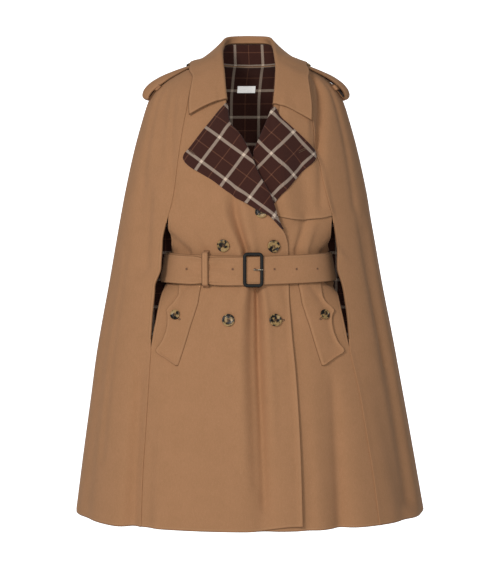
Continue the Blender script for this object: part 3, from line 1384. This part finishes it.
@dataclass
class Belting:
    """The belt, its keeper loop and its buckle."""

    dresser: Dresser
    top: float = -397.0
    bottom: float = -453.0
    dip: float = 6.0
    flare: float = 10.0
    half: float = 162.5
    box: float = 0.56  # how much squarer than an oval it is in front
    front: float = 143.0
    back: float = 108.0
    centre: float = -2.5
    # Place, half length, place from top to bottom, half width and height of each wrinkle.
    wrinkles: tuple[tuple[float, float, float, float, float], ...] = (
        (-66, 17, 0.15, 0.08, 2.8),
        (-64, 19, 0.36, 0.08, -1.8),
        (-62, 22, 0.56, 0.08, 2.2),
        (-66, 18, 0.83, 0.08, 2.8),
        (-102, 13, 0.2, 0.08, 2.4),
        (-105, 16, 0.5, 0.09, -1.6),
        (-103, 15, 0.77, 0.08, 2.4),
        (-34, 14, 0.26, 0.1, 1.2),
        (-28, 14, 0.7, 0.1, 1.2),
        (38, 16, 0.36, 0.12, 1.0),
        (64, 26, 0.66, 0.12, -0.9),
        (110, 24, 0.4, 0.14, 0.8),
    )
    start: float = 1.0
    length: float = 456.0
    over: float = 338.0
    through: float = 351.0
    in_front: float = 250.0  # degrees on from the start, where it is back in front
    keeper_at: float = -85.0
    keeper_wide: float = 12.5
    pinch: float = 0.11  # share of its height that the keeper gathers
    pinched: float = 13.0  # mm along the belt over which it does so

    def form(self) -> Form:
        """The oval that the belt lies on."""

        def share(z: Array) -> Array:
            return (self.top - np.asarray(z, float)) / (self.top - self.bottom)

        return Form(
            lambda z: self.half + self.flare * share(z),
            lambda z: self.front + 4.0 * share(z),
            lambda z: self.back + 0.0 * np.asarray(z, float),
            lambda z: self.centre + 0.0 * np.asarray(z, float),
            lambda z: self.box + 0.0 * np.asarray(z, float),
        )

    def _rise(self, gone: Array, x: Array, across: Array) -> Array:
        """How far the belt's inner face stands off its form, a length of gone along it."""
        layers = 2 * REST + CLOTH + (CLOTH + REST) * smooth(gone, self.over, self.through)
        # The free end is gathered a little by the keeper and slack beside it.
        slack = 1.2 * np.exp(-(((x + 114.0) / 20.0) ** 2)) + 1.2 * np.exp(-(((x + 56.0) / 18.0) ** 2))
        return layers + slack * (gone > self.over) * np.sin(np.pi * across)

    def face_at(self, x: float, z: float) -> tuple[Array, Array]:
        """A point of the belt's front face and its outward direction."""
        form = self.form()
        angle = form.angle_at(np.array(x), np.array(z))
        gone = 360.0 + self.start - np.degrees(angle)
        away = self._rise(gone, np.array(x), np.array(0.5)) + CLOTH
        return form.off(angle, np.array(z), away, False), form.outward(angle, np.array(z), False)

    def belt(self, cut: Cut) -> bpy.types.Object:
        """Builds the belt: from under the buckle round the waist, through it and on to its tip."""
        gone = np.linspace(0.0, self.length, 400)
        across = np.concatenate([[0.0, 0.02], np.linspace(0.05, 0.95, 31), [0.98, 1.0]])[:, None]
        angle = np.radians(self.start - gone)[None, :]
        tip = 1.0 - 0.85 * smooth(gone, self.length - 14.0, self.length)
        middle, high = (self.top + self.bottom) / 2, (self.top - self.bottom) / 2
        x = self.centre + self.half * np.sin(angle)
        gathered = np.exp(-(((x - self.keeper_at) / self.pinched) ** 2)) * (gone > self.over)
        z = middle + high * (1.0 - 2.0 * across) * tip[None, :] * (1.0 - self.pinch * gathered)
        level = self._rise(gone[None, :], x, across)
        # Short wrinkles run out from the keeper and from the buckle.
        for place, width, high_up, spread, deep in self.wrinkles:
            near = np.exp(-(((x - place) / width) ** 2) - ((across - high_up) / spread) ** 2)
            level = level + deep * near * np.where(place < 0, gone > self.over, gone > self.in_front)
        pillow = 0.8 * smooth(np.minimum(across, 1 - across), 0.0, 0.2) - 0.8
        form = self.form()
        outer = form.off(angle, z, level + CLOTH + pillow, False)
        inward = form.off(angle, z, level - pillow * 0.2, False)
        drop = -self.dip * np.maximum(0.0, np.cos(angle)) ** 2
        shift = 2.6 * smooth(gone, self.over, self.over + 40.0)[None, :]
        for face in (outer, inward):
            face[..., 2] = z + drop - shift * np.ones_like(z)
        edge = edge_distance(outer, "tbr") + 1.6
        grid = Grid(outer, inward, cloth_plan(outer, 20), edge)
        return self.dresser.sheet("belt", grid, cut, ["right_front", "left_front"], both=True)

    def off_belt(self, x: float, z: float, away: float) -> Array:
        """A point off the belt's front."""
        form = self.form()
        return form.off(form.angle_at(np.array(x), np.array(z)), np.array(z), away, False)

    def keeper(self, cut: Cut) -> bpy.types.Object:
        """Builds the loop on the front that the belt runs through."""
        x0, wide = self.keeper_at, self.keeper_wide
        middle = (self.top + self.bottom) / 2 - self.dip * 0.7
        half = (self.top - self.bottom) / 2
        over = 2 * REST + CLOTH + 2 * CLOTH + REST + REST + 3.0
        way = [(half + 9, None), (half + 6, None), (half + 1.8, over)]
        way += [(half * t, over + 0.6) for t in (0.7, 0.35, 0.0, -0.35, -0.7)]
        way += [(-half - 1.8, over), (-half - 6, None), (-half - 9, None)]
        rows = []
        for up, away in way:
            row = []
            for share in np.linspace(-0.5, 0.5, 7):
                x, z = x0 + wide * share, middle + up
                if away is None:
                    row.append(off_front(np.array(x), np.array(z), REST + 1.6))
                else:
                    row.append(self.off_belt(x, z, away + 1.0))
            rows.append(row)
        path = np.array(rows)
        place = np.arange(len(path), dtype=float)
        fine = np.linspace(0, len(path) - 1, 48)
        dense = np.empty((48, path.shape[1], 3))
        for i in range(path.shape[1]):
            for k in range(3):
                dense[:, i, k] = Curve(np.stack([place, path[:, i, k]], 1), 1)(fine)
        outer, inward = through(dense, 2.0)
        edge = edge_distance(outer, "lr") + 3.6
        grid = Grid(outer, inward, cloth_plan(outer, 3), edge)
        return self.dresser.sheet("belt_keeper", grid, cut, ["belt", "right_front"], both=True)


def lay(piece: bpy.types.Object, at: Array, outwards: Array) -> None:
    """Moves a piece, built on its own XY plane, to a point and square to a direction."""
    out = Vector(outwards).normalized()
    up = (Vector((0, 0, 1)) - out * out.z).normalized()
    side = up.cross(out)
    turn = Matrix((side, up, out)).transposed().to_4x4()
    piece.data.transform(Matrix.Translation(Vector(at) * MM) @ turn)
    piece.data.update()


def primitive(name: str, add: Callable[..., object], **settings: object) -> bpy.types.Object:
    """Adds a primitive with nothing else selected, and names it."""
    bpy.ops.object.select_all(action="DESELECT")
    add(**settings)
    piece = bpy.context.object
    piece.name = name
    piece.data.name = name
    return piece


def finish_modifier(piece: bpy.types.Object, kind: str, **settings: object) -> None:
    """Adds a modifier and applies it."""
    bpy.context.view_layer.objects.active = piece
    modifier = piece.modifiers.new(kind.lower(), kind)
    for key, value in settings.items():
        setattr(modifier, key, value)
    bpy.ops.object.modifier_apply(modifier=modifier.name)


def chosen_faces(
    work: bmesh.types.BMesh, test: Callable[[bmesh.types.BMFace], bool]
) -> list[bmesh.types.BMFace]:
    """The faces that pass a test."""
    return [face for face in work.faces if test(face)]


@dataclass
class Trims:
    """Buttons, buttonholes, eyelets, the buckle and the blank label."""

    dresser: Dresser
    coat_radius: float = 12.2
    flap_radius: float = 9.8

    def _button(self, name: str, radius: float) -> bpy.types.Object:
        """Models a four-hole button with a rolled rim, lying on its own XY plane.

        Args:
            name: The piece's name.
            radius: Its outer radius in mm.

        Returns:
            The button.
        """
        r = radius * MM
        piece = primitive(
            name,
            bpy.ops.mesh.primitive_cylinder_add,
            vertices=40,
            radius=r,
            depth=3.0 * MM,
            location=(0, 0, 2.3 * MM),
        )
        piece.data.transform(piece.matrix_world)
        piece.matrix_world = Matrix.Identity(4)
        bpy.ops.object.mode_set(mode="EDIT")
        work = bmesh.from_edit_mesh(piece.data)
        for inset, lift in ((0.10, 0.5), (0.10, 0.0), (0.09, -1.1), (0.30, -0.2)):
            for face in work.faces:
                face.select_set(False)
            top = max(work.faces, key=lambda f: (f.calc_center_median().z, f.calc_area()))
            top = max(
                chosen_faces(work, lambda f: f.normal.z > 0.9 and len(f.verts) > 20),
                key=lambda f: f.calc_area(),
            )
            top.select_set(True)
            bmesh.update_edit_mesh(piece.data)
            bpy.ops.mesh.inset(thickness=inset * r, depth=0)
            bpy.ops.transform.translate(value=(0, 0, lift * MM))
            work = bmesh.from_edit_mesh(piece.data)
        bpy.ops.object.mode_set(mode="OBJECT")
        finish_modifier(
            piece, "BEVEL", width=0.35 * MM, segments=2, limit_method="ANGLE", angle_limit=math.radians(30)
        )
        holes = []
        for k in range(4):
            angle = math.radians(45 + 90 * k)
            hole = primitive(
                "hole",
                bpy.ops.mesh.primitive_cylinder_add,
                vertices=14,
                radius=1.25 * MM,
                depth=12 * MM,
                location=(0.2 * r * math.cos(angle) * 1.05, 0.2 * r * math.sin(angle) * 1.05, 0),
            )
            holes.append(hole)
        for hole in holes:
            finish_modifier(piece, "BOOLEAN", operation="DIFFERENCE", object=hole, solver="EXACT")
        for hole in holes:
            bpy.data.objects.remove(hole, do_unlink=True)
        piece.data.materials.append(self.dresser.finishes.horn)
        for polygon in piece.data.polygons:
            polygon.use_smooth = True
        bpy.ops.object.select_all(action="DESELECT")
        piece.select_set(True)
        bpy.context.view_layer.objects.active = piece
        bpy.ops.object.shade_smooth_by_angle(angle=math.radians(35))
        return piece

    def _stitches(self, name: str, radius: float) -> bpy.types.Object:
        """Models the crossed thread of a button as two short bars over its holes."""
        r = 0.21 * radius
        parts = []
        for turn in (45, -45):
            bar = primitive(
                name,
                bpy.ops.mesh.primitive_cylinder_add,
                vertices=8,
                radius=0.55 * MM,
                depth=2.1 * r * MM,
                location=(0, 0, 3.55 * MM),
                rotation=(math.pi / 2, 0, math.radians(turn)),
            )
            bar.data.transform(bar.matrix_world)
            bar.matrix_world = Matrix.Identity(4)
            parts.append(bar)
        bpy.ops.object.select_all(action="DESELECT")
        for bar in parts:
            bar.select_set(True)
        bpy.context.view_layer.objects.active = parts[0]
        bpy.ops.object.join()
        parts[0].data.materials.append(self.dresser.finishes.thread)
        return parts[0]

    def _sew(
        self, node: str, pattern: tuple[bpy.types.Object, bpy.types.Object], at: Array, out: Array
    ) -> None:
        """Copies a button and its thread to one place."""
        for model, slot, name, stands in (
            (pattern[0], "horn", f"{node}_horn", node),
            (pattern[1], "horn", f"{node}_thread", None),
        ):
            piece = bpy.data.objects.new(name, model.data.copy())
            piece.data.name = name
            bpy.context.scene.collection.objects.link(piece)
            lay(piece, at, out)
            self.dresser.settle(piece, stands, slot)

    def _seat(self, x: float, z: float, level: Level, radius: float) -> tuple[Array, Array]:
        """Where a button sits on a front: its foot and its outward direction."""

        def on(dx: float, dz: float) -> Array:
            px, pz = np.array(x + dx), np.array(z + dz)
            return off_front(px, pz, level(px, pz))

        out = unit(np.cross(on(4, 0) - on(-4, 0), on(0, 4) - on(0, -4)))
        rise = 0.0
        for part in (0.5, 1.0):
            for turn in np.radians(np.arange(0, 360, 30)):
                p = on(radius * part * math.cos(turn), radius * part * math.sin(turn))
                rise = max(rise, float((p - on(0, 0)) @ out))
        return on(0, 0) + out * (REST + rise - 0.6), out

    def buttons(self) -> None:
        """Sews every button on."""
        coat = (
            self._button("coat_button", self.coat_radius),
            self._stitches("coat_thread", self.coat_radius),
        )
        small = (
            self._button("flap_button", self.flap_radius),
            self._stitches("flap_thread", self.flap_radius),
        )
        for node, x, z in COAT_BUTTONS:
            self._sew(node, coat, *self._seat(x, z, upper_level, self.coat_radius))
        for hand in Hand:
            def level(x: Array, z: Array, hand: Hand = hand) -> Array:
                return FRONT_LEVEL[hand](x, z) + REST + CLOTH

            place = self._seat(hand.value * 145.0, -519.0, level, self.flap_radius)
            self._sew(f"{hand.word}_pocket_button", small, *place)
            angle, z = np.array(hand.value * math.pi / 2), np.array(-20.0)
            at = CAPE.off(angle, z, 4.6, False)
            self._sew(f"{hand.word}_strap_button", small, at, CAPE.outward(angle, z, False))
        for model in (*coat, *small):
            bpy.data.objects.remove(model, do_unlink=True)

    def buckle(self, belting: Belting) -> None:
        """Models the leather-covered buckle and its pin, on the belt's front."""
        x, z = 6.0, -431.0
        form = belting.form()
        out = form.outward(form.angle_at(np.array(x), np.array(z)), np.array(z), False)
        at = belting.off_belt(x, z, 2 * REST + CLOTH + 2 * CLOTH + REST)
        frame = primitive("buckle_frame_leather", bpy.ops.mesh.primitive_plane_add, size=1.0)
        frame.data.transform(Matrix.Diagonal((40.0 * MM, 68.0 * MM, 1.0, 1.0)))
        bpy.ops.object.mode_set(mode="EDIT")
        bpy.ops.mesh.select_all(action="SELECT")
        bpy.ops.mesh.bevel(offset=9.0 * MM, segments=6, affect="VERTICES")
        bpy.ops.mesh.select_all(action="SELECT")
        bpy.ops.mesh.inset(thickness=6.6 * MM, depth=0)
        bpy.ops.mesh.delete(type="FACE")
        bpy.ops.object.mode_set(mode="OBJECT")
        finish_modifier(frame, "SOLIDIFY", thickness=4.2 * MM, offset=0.0)
        finish_modifier(
            frame, "BEVEL", width=1.5 * MM, segments=3, limit_method="ANGLE", angle_limit=math.radians(50)
        )
        frame.data.transform(Matrix.Translation((0, 0, 2.4 * MM)))
        frame.data.materials.append(self.dresser.finishes.leather)
        for polygon in frame.data.polygons:
            polygon.use_smooth = True
        lay(frame, at, out)
        self.dresser.settle(frame, "buckle_frame", "leather")
        pin = primitive(
            "buckle_pin_metal", bpy.ops.mesh.primitive_uv_sphere_add, segments=16, ring_count=24, radius=1.0
        )
        body = bmesh.new()
        body.from_mesh(pin.data)
        for vertex in body.verts:
            along = vertex.co.z
            round_it = math.sqrt(max(0.0, 1.0 - along**8))
            side, high = vertex.co.x, vertex.co.y
            size = math.hypot(side, high)
            if size > 1e-6:
                side, high = side / size * round_it, high / size * round_it
            reach = 10.4 + 10.4 * along
            rise = 2.2 + 4.6 * float(smooth(reach, 1.0, 12.0))
            vertex.co = Vector((reach * MM, side * 1.2 * MM, (rise + high * 1.0) * MM))
        body.to_mesh(pin.data)
        body.free()
        facing_out(pin.data)
        pin.data.materials.append(self.dresser.finishes.metal)
        for polygon in pin.data.polygons:
            polygon.use_smooth = True
        lay(pin, at, out)
        self.dresser.settle(pin, "buckle_pin", "metal")

    def eyelets(self, belting: Belting) -> None:
        """Sews the small round eyelets along the belt."""
        for k, x in enumerate((-120.5, -33.0, 9.5, 47.0, 89.5, 129.5)):
            z = -427.0
            at, out = belting.face_at(x, z)
            at = at + out * 0.1
            at[2] = z - belting.dip * 0.3
            ring = primitive(
                f"belt_eyelet_{k}",
                bpy.ops.mesh.primitive_torus_add,
                major_segments=20,
                minor_segments=8,
                major_radius=1.9 * MM,
                minor_radius=0.7 * MM,
            )
            ring.data.materials.append(self.dresser.finishes.camel_thread)
            for polygon in ring.data.polygons:
                polygon.use_smooth = True
            lay(ring, at, out)
            self.dresser.settle(ring, None, "wool")
            plug = primitive(
                f"belt_eyelet_hole_{k}",
                bpy.ops.mesh.primitive_cylinder_add,
                vertices=14,
                radius=1.3 * MM,
                depth=0.8 * MM,
            )
            plug.data.materials.append(self.dresser.finishes.thread)
            lay(plug, at, out)
            self.dresser.settle(plug, None, "wool")

    def buttonholes(self) -> None:
        """Sews the worked buttonholes as narrow rings of thread."""
        places = (
            ("coat_buttonhole", 62.0, -528.0, 11.0, 0.0, upper_level, 0.0),
            ("left_pocket_buttonhole", 139.0, -526.0, 9.0, 28.0, lower_level, REST + CLOTH),
            ("right_pocket_buttonhole", -139.0, -526.0, 9.0, -28.0, upper_level, REST + CLOTH),
            ("right_lapel_buttonhole", -112.0, -202.0, 15.0, -38.0, right_lapel_level, 0.0),
            ("left_lapel_buttonhole", 100.0, -198.0, 17.0, 25.0, left_lapel_level, 0.0),
        )
        for name, x, z, long, turn, level, more in places:
            px, pz = np.array(x), np.array(z)
            at = off_front(px, pz, level(px, pz) + more + 0.1)
            out = BODY.outward(BODY.angle_at(px, pz), pz)
            ring = primitive(
                name,
                bpy.ops.mesh.primitive_torus_add,
                major_segments=32,
                minor_segments=8,
                major_radius=1.5 * MM,
                minor_radius=0.65 * MM,
            )
            for vertex in ring.data.vertices:
                if vertex.co.x > 0:
                    vertex.co.x += (long / 2 - 1.5) * MM
                else:
                    vertex.co.x -= (long / 2 - 1.5) * MM
            ring.data.transform(Matrix.Rotation(math.radians(turn), 4, "Z"))
            ring.data.materials.append(self.dresser.finishes.thread)
            for polygon in ring.data.polygons:
                polygon.use_smooth = True
            lay(ring, at, out)
            self.dresser.settle(ring, None, "wool")

    def label(self, cut: Cut) -> None:
        """Sews the blank label inside the back neck."""
        x = np.linspace(-20.0, 18.0, 20)[None, :]
        z = np.linspace(-49.0, -63.0, 8)[:, None]
        angle = math.pi - np.arcsin(x / CAPE.half(z))
        zz = np.broadcast_to(z, angle.shape)
        outer = CAPE.off(angle, zz, -CLOTH - 2 * REST, False)
        inward = CAPE.off(angle, zz, -CLOTH - 2 * REST - 0.6, False)
        grid = Grid(outer, inward, cloth_plan(outer, 10), np.full(angle.shape, 500.0))
        mesh = wall_mesh("neck_label_tape", grid)
        mesh.materials.append(self.dresser.finishes.tape)
        mesh.materials.append(self.dresser.finishes.tape)
        piece = self.dresser.put(mesh, "neck_label", "label")


def over_shoulder(hand: Hand, z: Array, y: Array, away: Array) -> Array:
    """Points over the ridge of a shoulder, from their height and their place front to back."""
    deep = np.where(y < 0, CAPE.front(z), CAPE.back(z))
    angle = math.pi / 2 + np.arcsin(np.clip(y / deep, -0.9, 0.9))
    return CAPE.off(hand.value * angle, z, away, False)


@dataclass
class SmallCloth:
    """Pocket flaps, shoulder straps and the loops that hold them."""

    dresser: Dresser

    def pocket_flap(self, hand: Hand, cut: Cut) -> bpy.types.Object:
        """Builds a scalloped flap over a slanted pocket."""
        z = np.linspace(-449.0, -617.0, 62)
        start, end = Curve(POCKET, 1)(z), Curve(POCKET, 2)(z)
        x = hand.value * between(start, end, 22)
        zz = np.broadcast_to(z[:, None], x.shape)
        flat = off_front(x, zz, 0.0)
        lift = 2.8 * (1.0 - smooth(edge_distance(flat, "rb"), 0.0, 11.0)) * smooth(-zz, 462.0, 490.0)
        # Its inner edge is sewn down and pressed thin.
        loose = smooth(edge_distance(flat, "l"), 0.0, 6.0)
        front = FRONT_LEVEL[hand](x, zz)
        outer = off_front(x, zz, front + 0.5 + (REST + CLOTH + lift - 0.5) * loose)
        inward = off_front(x, zz, front + 0.15 + (REST + lift - 0.15) * loose)
        grid = Grid(outer, inward, cloth_plan(outer, 11), np.full(x.shape, UNSEWN))
        node = f"{hand.word}_pocket_flap"
        return self.dresser.sheet(node, grid, cut, [f"{hand.word}_front"])

    def shoulder_strap(self, hand: Hand, cut: Cut) -> bpy.types.Object:
        """Builds a strap on the shoulder, folded under at its outer end."""
        way = np.array(STRAP_WAY, float)
        run = np.concatenate([[0.0], np.cumsum(np.hypot(np.diff(way[:, 0]), np.diff(way[:, 1])))])
        fine = np.linspace(0.0, run[-1], 64)
        z, away, half, droop = (Curve(np.stack([run, way[:, k]], 1), 1)(fine)[:, None] for k in range(4))
        share = np.linspace(-1.0, 1.0, 17)[None, :]
        ahead = 2.5 if hand is Hand.RIGHT else 1.3
        droop = droop * np.where(share < 0, ahead, 1.0) * share**2
        middle = over_shoulder(hand, z + 0.0 * share, share * 23.0 * half, np.maximum(away - droop, 2.2))
        outer, inward = through(middle)
        above = (outer - middle)[10, 8]
        if above[2] < 0:
            outer, inward = inward, outer
        grid = Grid(outer, inward, cloth_plan(outer, 8), np.full(outer.shape[:2], UNSEWN))
        node = f"{hand.word}_shoulder_strap"
        return self.dresser.sheet(node, grid, cut, ["back", f"{hand.word}_side"])

    def strap_loop(self, hand: Hand, cut: Cut) -> bpy.types.Object:
        """Builds the small loop that holds a strap's lower leaf to the shoulder."""
        half, past, over, wide, thick = 22.2, 4.0, 7.2, 10.0, 1.6
        low = REST + thick / 2
        way = [(half + past, low), (half + 0.5, low), (half, over - 1.4), (0.6 * half, over), (0.0, over)]
        way += [(-y, away) for y, away in way[-2::-1]]
        run = np.arange(len(way), dtype=float)
        fine = np.linspace(0.0, run[-1], 49)
        y = Curve(list(zip(run, [-place for place, _ in way])), 1)(fine)[:, None]
        away = Curve(list(zip(run, [off for _, off in way])), 1)(fine)[:, None]
        share = np.linspace(0.5, -0.5, 6)[None, :]
        middle = over_shoulder(hand, -67.0 + wide * share + 0.0 * y, y + 0.0 * share, away + 0.0 * share)
        outer, inward = through(middle, thick)
        grid = Grid(outer, inward, cloth_plan(outer, 3), np.full(outer.shape[:2], UNSEWN))
        node = f"{hand.word}_strap_loop"
        return self.dresser.sheet(node, grid, cut, [f"{hand.word}_side", "back"], both=True)


@dataclass
class Studio:
    """A pale floor that curves up behind, soft lights, and the photograph's camera."""

    distance: float = 2950.0
    tilt: float = 2.0
    lens: float = 91.2
    aim: float = -463.0

    def camera(self) -> None:
        """Places the camera a little above the middle, level with the photograph's."""
        data = bpy.data.cameras.new("camera")
        data.lens = self.lens
        data.sensor_width = 36.0
        data.sensor_fit = "AUTO"
        data.clip_end = 60.0
        camera = bpy.data.objects.new("camera", data)
        tilt = math.radians(self.tilt)
        camera.location = (
            0.0,
            -self.distance * math.cos(tilt) * MM,
            (self.aim + self.distance * math.sin(tilt)) * MM,
        )
        camera.rotation_euler = (math.pi / 2 - tilt, 0.0, 0.0)
        bpy.context.scene.collection.objects.link(camera)
        bpy.context.scene.camera = camera

    def _lamp(
        self,
        name: str,
        power: float,
        size: float,
        place: Sequence[float],
        aim: Sequence[float],
        colour: Sequence[float],
    ) -> None:
        """Adds a large soft lamp that points at a place."""
        data = bpy.data.lights.new(name, "AREA")
        data.energy = power
        data.shape = "SQUARE"
        data.size = size
        data.color = colour
        lamp = bpy.data.objects.new(name, data)
        lamp.location = place
        way = Vector(aim) - Vector(place)
        lamp.rotation_euler = way.to_track_quat("-Z", "Y").to_euler()
        bpy.context.scene.collection.objects.link(lamp)

    def _paper(self, name: str, glow: float) -> bpy.types.Material:
        """Pale paper, which may be lit through from behind."""
        n = Nodes(name)
        shader = n.add(
            "ShaderNodeBsdfPrincipled",
            Base_Color=linear("#FAFAFA"),
            Roughness=1.0,
            Specular_IOR_Level=0.0,
            Emission_Color=(1.0, 1.0, 1.0, 1.0),
            Emission_Strength=glow,
        )
        return n.close(shader)

    def _strip(self, name: str, profile: Sequence[tuple[float, float]], half: float, glow: float) -> None:
        """Adds a strip of paper through points of y and z, as part of the stage."""
        points = [(x, y, z) for y, z in profile for x in (-half, half)]
        faces = [(2 * k, 2 * k + 1, 2 * k + 3, 2 * k + 2) for k in range(len(profile) - 1)]
        mesh = bpy.data.meshes.new(name)
        mesh.from_pydata(points, [], faces)
        for polygon in mesh.polygons:
            polygon.use_smooth = True
        strip = bpy.data.objects.new(name, mesh)
        bpy.context.scene.collection.objects.link(strip)
        mesh.materials.append(self._paper(f"{name}_paper", glow))

    def stage(self) -> None:
        """Builds the floor and the lit backdrop, the lamps and the surrounding light."""
        self._strip("studio_floor", [(-9.0, -1.75), (1.9, -1.75)], 9.0, 0.0)
        curve = [(1.9, -1.75)]
        for degree in range(10, 90, 10):
            a = math.radians(degree)
            curve.append((1.9 + 1.5 * math.sin(a), -1.75 + 1.5 * (1 - math.cos(a))))
        curve += [(3.4, -0.25), (3.4, 2.2)]
        self._strip("studio_backdrop", curve, 1.7, 1.0)
        middle = (0.0, 0.0, -0.42)
        self._lamp("key", 54.0, 0.8, (-1.6, -3.25, 0.85), middle, (1.0, 0.965, 0.935))
        self._lamp("fill", 22.0, 0.5, (0.1, -3.6, -0.1), middle, (1.0, 0.985, 0.96))
        world = bpy.data.worlds.new("studio")
        world.use_nodes = True
        world.node_tree.nodes["Background"].inputs[0].default_value = (0.9, 0.97, 1.1, 1.0)
        world.node_tree.nodes["Background"].inputs[1].default_value = 0.23
        bpy.context.scene.world = world
        bpy.context.scene.view_settings.view_transform = "Standard"
        bpy.context.scene.view_settings.look = "None"


def build(finishes: Finishes) -> None:
    """Builds every piece of the cape in order.

    Args:
        finishes: The materials.
    """
    dresser = Dresser(finishes)
    shell = Shell(dresser)
    shell.back(Cut(1.02, 0.96, 0.66))
    for hand in Hand:
        shell.side(hand, Cut(0.36, 0.94, 0.16), [f"{hand.word}_front", "back"])
    shell.front(Hand.RIGHT, Cut(0.36, 0.96, 0.22), ["right_side", "back", "left_front"])
    shell.front(Hand.LEFT, Cut(0.39, 0.96, 0.23), ["left_side", "back"])
    chest = ChestPieces(dresser)
    chest.right_lapel(Cut(0.2, 0.26, 0.026))
    chest.left_lapel(Cut(0.13, 0.2, 0.014))
    chest.storm_flap(Cut(0.14, 0.31, 0.033))
    collar = Collar(dresser)
    collar.fall(Cut(0.62, 0.13, 0.06))
    collar.stand(Cut(0.25, 0.05, 0.007))
    small = SmallCloth(dresser)
    for hand in Hand:
        small.pocket_flap(hand, Cut(0.07, 0.18, 0.0075))
        small.shoulder_strap(hand, Cut(0.046, 0.17, 0.0074))
        small.strap_loop(hand, Cut(0.012, 0.075, 0.0009))
    belting = Belting(dresser)
    belting.belt(Cut(1.15, 0.056, 0.063))
    belting.keeper(Cut(0.011, 0.09, 0.00095))
    trims = Trims(dresser)
    trims.buckle(belting)
    trims.eyelets(belting)
    trims.buttons()
    trims.buttonholes()
    trims.label(Cut(0.038, 0.014, 0.00053))


def main() -> None:
    """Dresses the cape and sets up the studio."""
    logging.basicConfig(level=logging.INFO, format="%(name)s: %(message)s")
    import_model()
    studio = Studio()
    studio.camera()
    studio.stage()
    build(Finishes())


if __name__ == "__main__":
    main()
